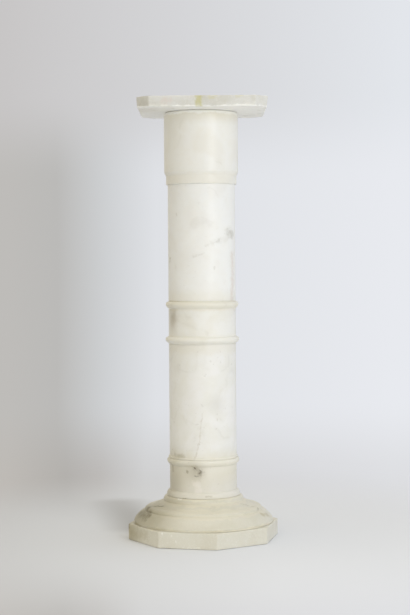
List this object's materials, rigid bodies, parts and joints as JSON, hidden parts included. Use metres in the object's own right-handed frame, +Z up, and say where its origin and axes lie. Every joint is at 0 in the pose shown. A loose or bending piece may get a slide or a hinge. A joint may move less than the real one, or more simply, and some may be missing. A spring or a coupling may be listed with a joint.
{
  "type": "pedestal column",
  "caption": "Tall round stone pedestal column with beaded rings, a square clipped-corner top slab and a moulded foot on an octagonal plinth, for displaying a vase or bust.",
  "frame": {"origin": "centre of the octagonal plinth's underside, on the column's axis", "axes": "+Z up along the column's axis; the top slab's sides are square to X and Y, and the front is towards -Y"},
  "size_m": [0.3452, 0.3452, 1],
  "materials": {
    "slab_stone": "honed",
    "drum_stone": "polished",
    "upper_shaft_stone": "satin",
    "collar_stone": "satin",
    "lower_shaft_stone": "satin",
    "base_stone": "satin",
    "plinth_stone": "satin"
  },
  "bodies": {
    "root": {"top_slab": "slab_stone", "capital_drum": "drum_stone", "upper_shaft": "upper_shaft_stone", "collar": "collar_stone", "lower_shaft": "lower_shaft_stone", "moulded_base": "base_stone", "plinth": "plinth_stone"}
  },
  "joints": []
}
